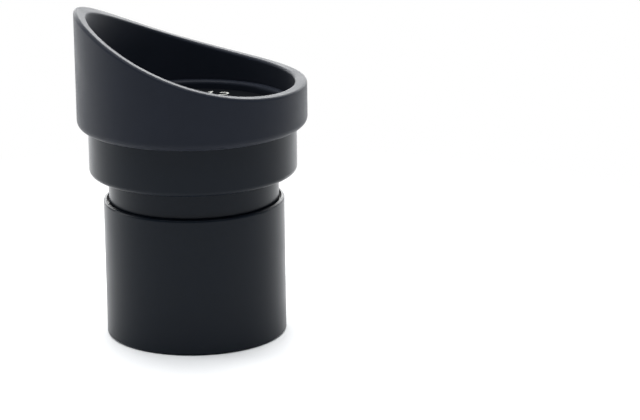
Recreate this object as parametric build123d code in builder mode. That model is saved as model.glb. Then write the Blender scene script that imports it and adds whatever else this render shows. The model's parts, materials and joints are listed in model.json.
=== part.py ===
"""A widefield eyepiece: a black anodised barrel and head, a lens group, and a winged rubber eyecup.

Millimetres. The optical axis is Z, the eye is at +Z, and the origin is the centre of the
barrel's open end, on which the eyepiece stands. The eyecup's wing points along -X.
"""

import os

from build123d import *

# Fits and small breaks
RUNNING = 0.05  # radial and axial clearance of the eyecup in its groove
SCREWED = 0.02  # radial clearance drawn for a screwed or dropped-in fit
EDGE = 0.3  # break on turned edges

# Barrel, the tube that slides into the instrument
BARREL_R = 15.0
BARREL_LENGTH = 23.0
BARREL_BORE_R = 13.6  # threaded bore above the field stop's ledge
STOP_LEDGE = 0.4  # how far the lower bore is smaller
STOP_DEPTH = 11.0  # ledge for the field stop, below the barrel's mouth
BARREL_TOP_FILLET = 0.5
GAP_WIDTH = 0.4  # shadow gap between the neck and the barrel's mouth
GAP_DEPTH = 0.8

# Head, the body between the barrel and the eyecup
NECK_R = 14.1
STEP_R = 14.9  # small ring under the collar
STEP_HEIGHT = 0.5
SPIGOT_LENGTH = 6.2
COLLAR_R = 17.2
NECK_LENGTH = 4.4  # seen between the barrel and the collar
COLLAR_HEIGHT = 7.9
COLLAR_FILLET = 0.9
GROOVE_DEPTH = 1.2
GROOVE_HEIGHT = 1.2
RIM_RING_HEIGHT = 0.8  # flange above the groove, which holds the eyecup on
RIM_RING_INSET = 0.2

# Face cap, the engraved plate round the eye lens
CAP_R = 15.4
CAP_THICKNESS = 1.7
CAP_ABOVE_RING = 0.3
CAP_THREAD_R = 12.4
CAP_THREAD_LENGTH = 3.4
CAP_BREAK = 0.35
RECESS_R = 8.6
RECESS_BREAK = 0.5

# Lens group
CELL_R = 10.2
CELL_WALL = 1.8
GLASS_CLEARANCE = 0.02
SPACER_WALL = 0.95
EYE_APERTURE_R = 7.2
EYE_RING_FLANGE = 0.9  # how far the eye ring's flange reaches under the cap
EYE_RING_FLANGE_HEIGHT = 0.4
EYE_RING_HEIGHT = 0.85
EYE_RING_LAND = 0.25
EYE_RING_BEVEL = 0.5
EYE_LENS_RADIUS = 22.0  # radii of curvature
CROWN_RADIUS = 26.0
CEMENT_RADIUS = 18.0
FIELD_LENS_RADIUS = 30.0
EYE_LENS_THICKNESS = 3.8
CROWN_THICKNESS = 4.8
FLINT_THICKNESS = 1.4
FIELD_LENS_THICKNESS = 4.0
CEMENT_LAYER = 0.01  # glue between the crown and the flint
AIR_GAP_UPPER = 0.2  # least gap between glasses, on the axis
AIR_GAP_LOWER = 0.4
LOCK_RING_HEIGHT = 1.2
LOCK_RING_WALL = 1.5
SLOT_WIDTH = 1.2
SLOT_DEPTH = 0.6
CELL_BELOW_RING = 0.2

# Field stop
STOP_APERTURE_R = 7.5
STOP_THICKNESS = 0.6
STOP_RING_WALL = 1.4
STOP_RING_HEIGHT = 2.0

# Eyecup
CUP_R = 19.0
CUP_WALL = 2.0
CUP_BASE_FILLET = 1.3
CUP_LOW = 7.2  # height above the shoulder opposite the wing
CUP_MIDDLE = 10.15
CUP_HIGH = 19.9  # height at the wing
CUP_RIM_FILLET = 0.45
LIP_HEIGHT = 1.5  # inner lip, which covers the head's top ring
LIP_INSET = 0.35  # gap round the face cap
LIP_FILLET = 0.6
LIP_LAND = 1.0

# Engraved number
MARK_HEIGHT = 2.3
MARK_WIDTH = 1.5
MARK_STROKE = 0.34
MARK_DEPTH = 0.12
MARK_RADIUS = 12.0
MARK_PITCH = 11.5  # degrees from one character to the next
MARK_AZIMUTH = 70.0  # degrees from +X towards +Y

# Worked out from the above
STOP_LEDGE_Z = BARREL_LENGTH - STOP_DEPTH
COLLAR_Z = BARREL_LENGTH + NECK_LENGTH
SHOULDER_Z = COLLAR_Z + COLLAR_HEIGHT  # where the eyecup sits
BORE_R = BARREL_BORE_R - STOP_LEDGE
SEAT_Z = BARREL_LENGTH - GAP_DEPTH  # the neck's shoulder on the barrel
SPIGOT_Z = SEAT_Z - SPIGOT_LENGTH
SPIGOT_R = BARREL_BORE_R - SCREWED
GROOVE_R = COLLAR_R - GROOVE_DEPTH
RING_R = COLLAR_R - RIM_RING_INSET
RING_Z = SHOULDER_Z + GROOVE_HEIGHT
HEAD_TOP_Z = RING_Z + RIM_RING_HEIGHT
FACE_Z = HEAD_TOP_Z + CAP_ABOVE_RING
CAP_SEAT_Z = FACE_Z - CAP_THICKNESS
CELL_BORE_R = CELL_R - CELL_WALL
GLASS_R = CELL_BORE_R - GLASS_CLEARANCE
HEAD_BORE_R = CELL_R + SCREWED
EYE_RING_R = RECESS_R - SCREWED
SPACER_BORE_R = GLASS_R - SPACER_WALL


def sag(radius, at):
    """Depth of a sphere of that radius, at that distance from the axis."""
    return radius - (radius**2 - at**2) ** 0.5


EYE_TOP_Z = CAP_SEAT_Z + sag(EYE_LENS_RADIUS, EYE_APERTURE_R) - RUNNING
EYE_BACK_Z = EYE_TOP_Z - EYE_LENS_THICKNESS
CROWN_TOP_Z = EYE_BACK_Z - AIR_GAP_UPPER
CEMENT_Z = CROWN_TOP_Z - CROWN_THICKNESS
FLINT_BACK_Z = CEMENT_Z - FLINT_THICKNESS
FIELD_TOP_Z = FLINT_BACK_Z - AIR_GAP_LOWER
FIELD_BACK_Z = FIELD_TOP_Z - FIELD_LENS_THICKNESS
LOCK_RING_Z = FIELD_BACK_Z - LOCK_RING_HEIGHT
CELL_Z = LOCK_RING_Z - CELL_BELOW_RING


def save(part, name):
    """Labels a finished piece and writes it to its own file."""
    part.label = name
    export_step(part, f"parts/{name}.step")


def tube(inner, outer, low, high):
    """A plain ring about the axis, from one height to another."""
    with BuildPart() as ring:
        with BuildSketch(Plane.XY.offset(low)):
            Circle(outer)
            Circle(inner, mode=Mode.SUBTRACT)
        extrude(amount=high - low)
    return ring.part


def slotted_ring(inner, outer, low, high):
    """A lock ring with two spanner slots across its lower face."""
    with BuildPart() as ring:
        add(tube(inner, outer, low, high))
        with Locations((0, 0, low)):
            Box(2.5 * outer, SLOT_WIDTH, 2 * SLOT_DEPTH, mode=Mode.SUBTRACT)
    return ring.part


def glass(top_z, top_radius, back_z, back_radius=None):
    """A lens of the group's diameter. It is flat behind unless it bulges downwards there."""
    edge_top = top_z - sag(top_radius, GLASS_R)
    edge_back = back_z if back_radius is None else back_z + sag(back_radius, GLASS_R)
    with BuildPart() as lens:
        with BuildSketch(Plane.XZ):
            with BuildLine():
                Line((0, back_z), (0, top_z))
                half = GLASS_R / 2
                ThreePointArc(
                    (0, top_z), (half, top_z - sag(top_radius, half)), (GLASS_R, edge_top)
                )
                Line((GLASS_R, edge_top), (GLASS_R, edge_back))
                if back_radius is None:
                    Line((GLASS_R, edge_back), (0, back_z))
                else:
                    ThreePointArc(
                        (GLASS_R, edge_back), (half, back_z + sag(back_radius, half)), (0, back_z)
                    )
            make_face()
        revolve(axis=Axis.Z)
    return lens.part


os.makedirs("parts", exist_ok=True)

# --- barrel ---
with BuildPart() as barrel:
    with BuildSketch(Plane.XZ):
        with BuildLine():
            Polyline(
                (BORE_R + EDGE, 0),
                (BARREL_R - EDGE, 0),
                (BARREL_R, EDGE),
                (BARREL_R, BARREL_LENGTH),
                (NECK_R + GAP_WIDTH, BARREL_LENGTH),
                (NECK_R + GAP_WIDTH, SEAT_Z),
                (BARREL_BORE_R, SEAT_Z),
                (BARREL_BORE_R, STOP_LEDGE_Z),
                (BORE_R, STOP_LEDGE_Z),
                (BORE_R, EDGE),
                close=True,
            )
        make_face()
    revolve(axis=Axis.Z)
    mouth = barrel.edges().filter_by(GeomType.CIRCLE).group_by(Axis.Z)[-1].sort_by(SortBy.LENGTH)[-1]
    fillet(mouth, min(BARREL_TOP_FILLET, 0.9 * (BARREL_R - NECK_R - GAP_WIDTH)))
save(barrel.part, "barrel")

# --- head: spigot, neck, collar and the groove that the eyecup turns in ---
with BuildPart() as head:
    with BuildSketch(Plane.XZ):
        with BuildLine():
            Polyline(
                (HEAD_BORE_R, SPIGOT_Z),
                (SPIGOT_R - EDGE, SPIGOT_Z),
                (SPIGOT_R, SPIGOT_Z + EDGE),
                (SPIGOT_R, SEAT_Z),
                (NECK_R, SEAT_Z),
                (NECK_R, COLLAR_Z - STEP_HEIGHT),
                (STEP_R, COLLAR_Z - STEP_HEIGHT),
                (STEP_R, COLLAR_Z),
                (COLLAR_R, COLLAR_Z),
                (COLLAR_R, SHOULDER_Z),
                (GROOVE_R, SHOULDER_Z),
                (GROOVE_R, RING_Z),
                (RING_R, RING_Z),
                (RING_R, HEAD_TOP_Z),
                (CAP_R + SCREWED, HEAD_TOP_Z),
                (CAP_R + SCREWED, CAP_SEAT_Z),
                (CAP_THREAD_R + SCREWED, CAP_SEAT_Z),
                (CAP_THREAD_R + SCREWED, CAP_SEAT_Z - CAP_THREAD_LENGTH),
                (HEAD_BORE_R, CAP_SEAT_Z - CAP_THREAD_LENGTH),
                close=True,
            )
        make_face()
    revolve(axis=Axis.Z)
    under_collar = head.edges().filter_by(GeomType.CIRCLE).filter_by_position(
        Axis.Z, COLLAR_Z - 0.01, COLLAR_Z + 0.01
    ).sort_by(SortBy.LENGTH)[-1]
    fillet(under_collar, COLLAR_FILLET)
save(head.part, "head_body")

# --- magnification mark: a plain number in white paint, flush in the engraving ---


def stroke_one():
    with BuildLine() as line:
        Polyline(
            (-MARK_WIDTH / 4, MARK_HEIGHT * 0.28), (0.1 * MARK_WIDTH, MARK_HEIGHT / 2),
            (0.1 * MARK_WIDTH, -MARK_HEIGHT / 2),
        )
    return line.line


def stroke_two():
    w, h = MARK_WIDTH / 2, MARK_HEIGHT / 2
    with BuildLine() as line:
        ThreePointArc((-w, 0.45 * h), (0.25 * w, 0.98 * h), (0.7 * w, 0.1 * h))
        Polyline((0.7 * w, 0.1 * h), (-w, -h), (w, -h))
    return line.line


def mark(depth):
    """The two digits as shallow solids whose tops are flush with the face."""
    with BuildPart() as digits:
        for place, path in ((-0.5, stroke_one()), (0.5, stroke_two())):
            where = Rot(0, 0, MARK_AZIMUTH - 90 - place * MARK_PITCH) * Pos(0, MARK_RADIUS, 0) * path
            with BuildSketch(Plane.XY.offset(FACE_Z - depth)):
                trace(where, line_width=MARK_STROKE)
            extrude(amount=depth)
    return digits.part


paint = mark(MARK_DEPTH)
save(paint, "magnification_mark")

# --- face cap: engraved plate with a threaded skirt ---
with BuildPart() as cap:
    with BuildSketch(Plane.XZ):
        with BuildLine():
            Polyline(
                (RECESS_R, CAP_SEAT_Z + EYE_RING_FLANGE_HEIGHT),
                (RECESS_R, FACE_Z - RECESS_BREAK),
                (RECESS_R + RECESS_BREAK, FACE_Z),
                (CAP_R - CAP_BREAK, FACE_Z),
                (CAP_R, FACE_Z - CAP_BREAK),
                (CAP_R, CAP_SEAT_Z),
                (CAP_THREAD_R, CAP_SEAT_Z),
                (CAP_THREAD_R, CAP_SEAT_Z - CAP_THREAD_LENGTH + EDGE),
                (CAP_THREAD_R - EDGE, CAP_SEAT_Z - CAP_THREAD_LENGTH + SCREWED),
                (CELL_R + SCREWED, CAP_SEAT_Z - CAP_THREAD_LENGTH + SCREWED),
                (CELL_R + SCREWED, CAP_SEAT_Z),
                (RECESS_R + EYE_RING_FLANGE + SCREWED, CAP_SEAT_Z),
                (RECESS_R + EYE_RING_FLANGE + SCREWED, CAP_SEAT_Z + EYE_RING_FLANGE_HEIGHT),
                close=True,
            )
        make_face()
    revolve(axis=Axis.Z)
    add(paint, mode=Mode.SUBTRACT)
save(cap.part, "face_cap")

# --- eye ring: stepped ring round the eye lens ---
with BuildPart() as eye_ring:
    with BuildSketch(Plane.XZ):
        with BuildLine():
            ring_top = CAP_SEAT_Z + EYE_RING_HEIGHT
            Polyline(
                (EYE_APERTURE_R, CAP_SEAT_Z),
                (RECESS_R + EYE_RING_FLANGE, CAP_SEAT_Z),
                (RECESS_R + EYE_RING_FLANGE, CAP_SEAT_Z + EYE_RING_FLANGE_HEIGHT),
                (EYE_APERTURE_R + EYE_RING_BEVEL + EYE_RING_LAND, CAP_SEAT_Z + EYE_RING_FLANGE_HEIGHT),
                (EYE_APERTURE_R + EYE_RING_BEVEL + EYE_RING_LAND, ring_top),
                (EYE_APERTURE_R + EYE_RING_BEVEL, ring_top),
                (EYE_APERTURE_R, ring_top - EYE_RING_BEVEL),
                close=True,
            )
        make_face()
    revolve(axis=Axis.Z)
save(eye_ring.part, "eye_ring")

# --- glasses, spacers, cell and lock ring ---
save(glass(EYE_TOP_Z, EYE_LENS_RADIUS, EYE_BACK_Z), "eye_lens")
save(
    tube(SPACER_BORE_R, GLASS_R, CROWN_TOP_Z - sag(CROWN_RADIUS, SPACER_BORE_R), EYE_BACK_Z),
    "upper_spacer",
)
save(glass(CROWN_TOP_Z, CROWN_RADIUS, CEMENT_Z, CEMENT_RADIUS), "crown_lens")

with BuildPart() as flint:
    with BuildSketch(Plane.XZ):
        with BuildLine():
            seat = CEMENT_Z - CEMENT_LAYER
            cement_edge = seat + sag(CEMENT_RADIUS, GLASS_R)
            half_way = GLASS_R / 2
            Line((0, FLINT_BACK_Z), (0, seat))
            ThreePointArc(
                (0, seat), (half_way, seat + sag(CEMENT_RADIUS, half_way)), (GLASS_R, cement_edge)
            )
            Line((GLASS_R, cement_edge), (GLASS_R, FLINT_BACK_Z))
            Line((GLASS_R, FLINT_BACK_Z), (0, FLINT_BACK_Z))
        make_face()
    revolve(axis=Axis.Z)
save(flint.part, "flint_lens")

save(
    tube(SPACER_BORE_R, GLASS_R, FIELD_TOP_Z - sag(FIELD_LENS_RADIUS, SPACER_BORE_R), FLINT_BACK_Z),
    "lower_spacer",
)
save(glass(FIELD_TOP_Z, FIELD_LENS_RADIUS, FIELD_BACK_Z), "field_lens")
save(slotted_ring(GLASS_R - LOCK_RING_WALL, GLASS_R, LOCK_RING_Z, FIELD_BACK_Z), "cell_lock_ring")
save(tube(CELL_BORE_R, CELL_R, CELL_Z, CAP_SEAT_Z), "lens_cell")

# --- field stop on the barrel's ledge, under its lock ring ---
stop_top = STOP_LEDGE_Z + STOP_THICKNESS
save(tube(STOP_APERTURE_R, SPIGOT_R, STOP_LEDGE_Z, stop_top), "field_stop")
save(
    slotted_ring(SPIGOT_R - STOP_RING_WALL, SPIGOT_R, stop_top, stop_top + STOP_RING_HEIGHT),
    "stop_lock_ring",
)

# --- eyecup: winged rubber cup, turning in the head's groove ---
CUP_BASE_Z = SHOULDER_Z + RUNNING
CUP_BORE_R = CUP_R - CUP_WALL
LIP_R = CAP_R + LIP_INSET
LIP_BASE_Z = HEAD_TOP_Z + RUNNING
LIP_TOP_Z = LIP_BASE_Z + LIP_HEIGHT
with BuildPart() as eyecup:
    with BuildSketch(Plane.XZ):
        with BuildLine():
            Polyline(
                (GROOVE_R + RUNNING, CUP_BASE_Z),
                (CUP_R, CUP_BASE_Z),
                (CUP_R, SHOULDER_Z + CUP_HIGH),
                (CUP_BORE_R, SHOULDER_Z + CUP_HIGH),
                (CUP_BORE_R, LIP_TOP_Z - LIP_LAND / 2),
                (LIP_R + LIP_LAND, LIP_TOP_Z),
                (LIP_R, LIP_TOP_Z),
                (LIP_R, LIP_BASE_Z),
                (RING_R + RUNNING, LIP_BASE_Z),
                (RING_R + RUNNING, RING_Z - RUNNING),
                (GROOVE_R + RUNNING, RING_Z - RUNNING),
                close=True,
            )
        make_face()
    revolve(axis=Axis.Z)
    with BuildSketch(Plane.XZ):
        with BuildLine():
            reach = 1.05 * CUP_R
            high, middle, low = (SHOULDER_Z + h for h in (CUP_HIGH, CUP_MIDDLE, CUP_LOW))
            ThreePointArc((-CUP_R, high), (0, middle), (CUP_R, low))
            Polyline(
                (CUP_R, low), (reach, low), (reach, 2 * high), (-reach, 2 * high), (-reach, high), (-CUP_R, high)
            )
        make_face()
    extrude(amount=2 * CUP_R, both=True, mode=Mode.SUBTRACT)
    rim = eyecup.faces().filter_by(lambda f: f.center().Z > LIP_TOP_Z + 1).sort_by(
        lambda f: abs(f.normal_at().Z)
    )[-1]
    fillet(rim.edges(), CUP_RIM_FILLET)
    base_edge = eyecup.edges().filter_by(GeomType.CIRCLE).group_by(Axis.Z)[0].sort_by(SortBy.LENGTH)[-1]
    fillet(base_edge, CUP_BASE_FILLET)
    lip_edge = eyecup.edges().filter_by(GeomType.CIRCLE).filter_by_position(
        Axis.Z, LIP_TOP_Z - 0.01, LIP_TOP_Z + 0.01
    ).sort_by(SortBy.LENGTH)[0]
    fillet(lip_edge, min(LIP_FILLET, 0.8 * LIP_LAND))
save(eyecup.part, "eyecup")
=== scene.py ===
import json

import bpy
from mathutils import Matrix, Vector

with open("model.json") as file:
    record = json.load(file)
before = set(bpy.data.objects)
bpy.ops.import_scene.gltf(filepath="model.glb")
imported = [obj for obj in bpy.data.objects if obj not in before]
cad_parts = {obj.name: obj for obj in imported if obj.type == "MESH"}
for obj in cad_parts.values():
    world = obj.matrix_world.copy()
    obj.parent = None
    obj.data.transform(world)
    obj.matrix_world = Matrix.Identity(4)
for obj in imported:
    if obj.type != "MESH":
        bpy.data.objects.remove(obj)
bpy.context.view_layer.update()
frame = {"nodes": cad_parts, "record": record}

# Camera: its place in metres and its directions, in the part's frame
CAMERA_AT = Vector((0.000812, -0.47975, 0.15753))
CAMERA_RIGHT = Vector((0.99892, -0.04499, -0.01127))
CAMERA_UP = Vector((0.02321, 0.27460, 0.96128))
CAMERA_FORWARD = Vector((0.04015, 0.96051, -0.27534))
LENS_MM = 168.75
SENSOR_MM = 36.0
NEAREST_SEEN = 0.01

# Colours, linear
RUBBER = (0.0105, 0.0131, 0.0202)
ANODISED = (0.0042, 0.0068, 0.0112)
ANODISED_INSIDE = (0.0042, 0.0048, 0.0062)
PAINT = (0.62, 0.62, 0.58)
GLASS = (0.97, 0.985, 0.98)
GLASS_COATING = (0.34, 0.42, 0.5)  # tint of the reflection, weakened by the coating
FLOOR = (0.86, 0.86, 0.86)
SKY = (0.8, 0.9, 1.0)
WHITE = (1.0, 1.0, 1.0)

# Noise, in features per metre
RUBBER_CLOUD = 160
RUBBER_GRAIN = 9000
METAL_CLOUD = 220
METAL_GRAIN = 16000
TURNING_LINES = (40, 40, 9000)  # stretched round the axis, close together along it
GLASS_HAZE = 300
PAINT_CLOUD = 2500
NOISE_MIDDLE = (0.3, 0.7)  # where nearly all of a noise's values lie

# Depth of each relief, in metres
RUBBER_RELIEF = 0.00002
METAL_RELIEF = 0.0000025
PAINT_RELIEF = 0.00002

# Studio, in metres and watts
FLOOR_SIZE = 6.0
FLOOR_FADE = (0.03, 0.12)  # from the axis: the floor's shade gives way to plain white
SKY_STRENGTH = 0.26
LIGHTS_AIM = (0, 0, 0.03)
LIGHTS = (
    # name, place, width, height, power
    ("top_light", (0.0, 0.0, 0.7), 0.7, 0.7, 7.5),
    ("left_light", (-0.55, 0.15, 0.22), 0.25, 0.5, 1.3),
    ("right_light", (0.5, 0.3, 0.22), 0.2, 0.5, 0.5),
    ("back_light", (0.0, 0.75, 0.3), 1.4, 0.5, 12.0),
)


def new_material(name):
    material = bpy.data.materials.new(name)
    material.use_nodes = True
    tree = material.node_tree
    return material, tree, tree.nodes["Principled BSDF"]


def noise(tree, scale, detail, roughness=0.5, stretch=(1, 1, 1)):
    """A noise in the object's own metres; scale is in features per metre."""
    where = tree.nodes.new("ShaderNodeTexCoord")
    mapping = tree.nodes.new("ShaderNodeMapping")
    mapping.inputs["Scale"].default_value = stretch
    texture = tree.nodes.new("ShaderNodeTexNoise")
    texture.inputs["Scale"].default_value = scale
    texture.inputs["Detail"].default_value = detail
    texture.inputs["Roughness"].default_value = roughness
    tree.links.new(where.outputs["Object"], mapping.inputs["Vector"])
    tree.links.new(mapping.outputs["Vector"], texture.inputs["Vector"])
    return texture.outputs["Fac"]


def spread(tree, value, low, high):
    """Maps the middle of a noise's range onto low to high."""
    node = tree.nodes.new("ShaderNodeMapRange")
    node.inputs["From Min"].default_value = NOISE_MIDDLE[0]
    node.inputs["From Max"].default_value = NOISE_MIDDLE[1]
    node.inputs["To Min"].default_value = low
    node.inputs["To Max"].default_value = high
    tree.links.new(value, node.inputs["Value"])
    return node.outputs["Result"]


def tint(tree, value, colour, darkest, lightest):
    """A colour that a noise varies between two multiples of itself."""
    node = tree.nodes.new("ShaderNodeMix")
    node.data_type = "RGBA"
    node.inputs["A"].default_value = (*(c * darkest for c in colour), 1)
    node.inputs["B"].default_value = (*(c * lightest for c in colour), 1)
    tree.links.new(value, node.inputs["Factor"])
    return node.outputs["Result"]


def bump(tree, height, depth, normal=None):
    """A bump whose full height is depth, in metres."""
    node = tree.nodes.new("ShaderNodeBump")
    node.inputs["Distance"].default_value = depth
    tree.links.new(height, node.inputs["Height"])
    if normal is not None:
        tree.links.new(normal, node.inputs["Normal"])
    return node.outputs["Normal"]


def mixed(tree, factor, first, second, output):
    """Shows the first shader where factor is 0 and the second where it is 1."""
    mix = tree.nodes.new("ShaderNodeMixShader")
    tree.links.new(factor, mix.inputs["Fac"])
    tree.links.new(first, mix.inputs[1])
    tree.links.new(second, mix.inputs[2])
    tree.links.new(mix.outputs["Shader"], tree.nodes[output].inputs["Surface"])


def rubber():
    """Matte black rubber: a fine grain and slightly uneven sheen."""
    material, tree, shader = new_material("eyecup_rubber_look")
    cloud = noise(tree, RUBBER_CLOUD, 4)
    grain = noise(tree, RUBBER_GRAIN, 2, 0.6)
    tree.links.new(tint(tree, cloud, RUBBER, 0.85, 1.2), shader.inputs["Base Color"])
    tree.links.new(spread(tree, cloud, 0.4, 0.48), shader.inputs["Roughness"])
    tree.links.new(bump(tree, grain, RUBBER_RELIEF), shader.inputs["Normal"])
    shader.inputs["Specular IOR Level"].default_value = 0.1
    shader.inputs["Sheen Weight"].default_value = 0.03
    shader.inputs["Sheen Roughness"].default_value = 0.5
    return material


def anodised(name, colour, rough, specular, turning):
    """Black anodised aluminium: a fine grain over turning lines of that depth."""
    material, tree, shader = new_material(name)
    cloud = noise(tree, METAL_CLOUD, 4)
    grain = noise(tree, METAL_GRAIN, 2, 0.6)
    lines = noise(tree, 1.0, 2, 0.6, TURNING_LINES)
    tree.links.new(tint(tree, cloud, colour, 0.9, 1.12), shader.inputs["Base Color"])
    tree.links.new(spread(tree, cloud, rough - 0.025, rough + 0.025), shader.inputs["Roughness"])
    turned = bump(tree, lines, turning)
    tree.links.new(bump(tree, grain, METAL_RELIEF, turned), shader.inputs["Normal"])
    shader.inputs["Specular IOR Level"].default_value = specular
    return material


def glass():
    """Coated optical glass with a trace of haze."""
    material, tree, shader = new_material("lens_glass_look")
    haze = noise(tree, GLASS_HAZE, 3)
    tree.links.new(spread(tree, haze, 0.0, 0.018), shader.inputs["Roughness"])
    shader.inputs["Base Color"].default_value = (*GLASS, 1)
    shader.inputs["Transmission Weight"].default_value = 1.0
    shader.inputs["IOR"].default_value = 1.52
    shader.inputs["Specular IOR Level"].default_value = 0.16
    shader.inputs["Specular Tint"].default_value = (*GLASS_COATING, 1)
    return material


def paint():
    """Off-white paint, a little uneven in its engraving."""
    material, tree, shader = new_material("mark_paint_look")
    cloud = noise(tree, PAINT_CLOUD, 3)
    tree.links.new(tint(tree, cloud, PAINT, 0.85, 1.0), shader.inputs["Base Color"])
    tree.links.new(bump(tree, cloud, PAINT_RELIEF), shader.inputs["Normal"])
    shader.inputs["Roughness"].default_value = 0.6
    return material


def floor_material():
    """A pale floor that keeps the shadow, and is white to the camera away from the axis."""
    material, tree, shader = new_material("floor_look")
    shader.inputs["Base Color"].default_value = (*FLOOR, 1)
    shader.inputs["Roughness"].default_value = 0.7
    shader.inputs["Specular IOR Level"].default_value = 0.2
    white = tree.nodes.new("ShaderNodeEmission")
    white.inputs["Color"].default_value = (*WHITE, 1)
    where = tree.nodes.new("ShaderNodeTexCoord")
    distance = tree.nodes.new("ShaderNodeVectorMath")
    distance.operation = "LENGTH"
    fade = tree.nodes.new("ShaderNodeMapRange")
    fade.interpolation_type = "SMOOTHSTEP"
    fade.inputs["From Min"].default_value = FLOOR_FADE[0]
    fade.inputs["From Max"].default_value = FLOOR_FADE[1]
    path = tree.nodes.new("ShaderNodeLightPath")
    seen = tree.nodes.new("ShaderNodeMath")
    seen.operation = "MULTIPLY"
    tree.links.new(where.outputs["Object"], distance.inputs[0])
    tree.links.new(distance.outputs["Value"], fade.inputs["Value"])
    tree.links.new(fade.outputs["Result"], seen.inputs[0])
    tree.links.new(path.outputs["Is Camera Ray"], seen.inputs[1])
    mixed(
        tree, seen.outputs["Value"], shader.outputs["BSDF"], white.outputs["Emission"], "Material Output"
    )
    return material


def studio_world():
    """White to the camera and dim to everything else."""
    world = bpy.data.worlds.new("studio")
    world.use_nodes = True
    tree = world.node_tree
    ambient = tree.nodes["Background"]
    ambient.inputs["Color"].default_value = (*SKY, 1)
    ambient.inputs["Strength"].default_value = SKY_STRENGTH
    backdrop = tree.nodes.new("ShaderNodeBackground")
    backdrop.inputs["Color"].default_value = (*WHITE, 1)
    path = tree.nodes.new("ShaderNodeLightPath")
    mixed(
        tree,
        path.outputs["Is Camera Ray"],
        ambient.outputs["Background"],
        backdrop.outputs["Background"],
        "World Output",
    )
    return world


def softbox(name, at, width, height, power):
    """A rectangular light that the camera doesn't see, aimed at the object."""
    light = bpy.data.lights.new(name, "AREA")
    light.shape = "RECTANGLE"
    light.size = width
    light.size_y = height
    light.energy = power
    lamp = bpy.data.objects.new(name, light)
    lamp.location = at
    lamp.rotation_euler = (Vector(LIGHTS_AIM) - Vector(at)).to_track_quat("-Z", "Y").to_euler()
    lamp.visible_camera = False
    bpy.context.scene.collection.objects.link(lamp)


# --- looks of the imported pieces, one for each of the record's material slots ---
outside = anodised("anodised_look", ANODISED, 0.3, 0.12, 0.0000015)
looks = {
    "barrel_black": outside,
    "head_black": outside,
    "cap_black": anodised("face_look", ANODISED_INSIDE, 0.34, 0.14, 0.000001),
    "ring_black": anodised("ring_look", ANODISED_INSIDE, 0.18, 0.8, 0.0000005),
    "inner_black": anodised("inside_look", ANODISED_INSIDE, 0.6, 0.3, 0.000004),
    "lens_glass": glass(),
    "mark_paint": paint(),
    "eyecup_rubber": rubber(),
}
slots = {s["node"]: s["material_slot"] for s in frame["record"]["subparts"]}
for name, node in frame["nodes"].items():
    node.data.materials.clear()
    node.data.materials.append(looks[slots[name]])

# --- floor, surroundings and lights ---
bpy.ops.mesh.primitive_plane_add(size=FLOOR_SIZE, location=(0, 0, 0))
floor = bpy.context.object
floor.name = "floor"
floor.data.materials.append(floor_material())
bpy.context.scene.world = studio_world()
for light in LIGHTS:
    softbox(*light)

# --- camera ---
camera_data = bpy.data.cameras.new("camera")
camera_data.lens = LENS_MM
camera_data.sensor_width = SENSOR_MM
camera_data.clip_start = NEAREST_SEEN
camera = bpy.data.objects.new("camera", camera_data)
bpy.context.scene.collection.objects.link(camera)
turn = Matrix((CAMERA_RIGHT, CAMERA_UP, -CAMERA_FORWARD)).transposed().to_4x4()
camera.matrix_world = Matrix.Translation(CAMERA_AT) @ turn
bpy.context.scene.camera = camera
bpy.context.scene.view_settings.view_transform = "Standard"
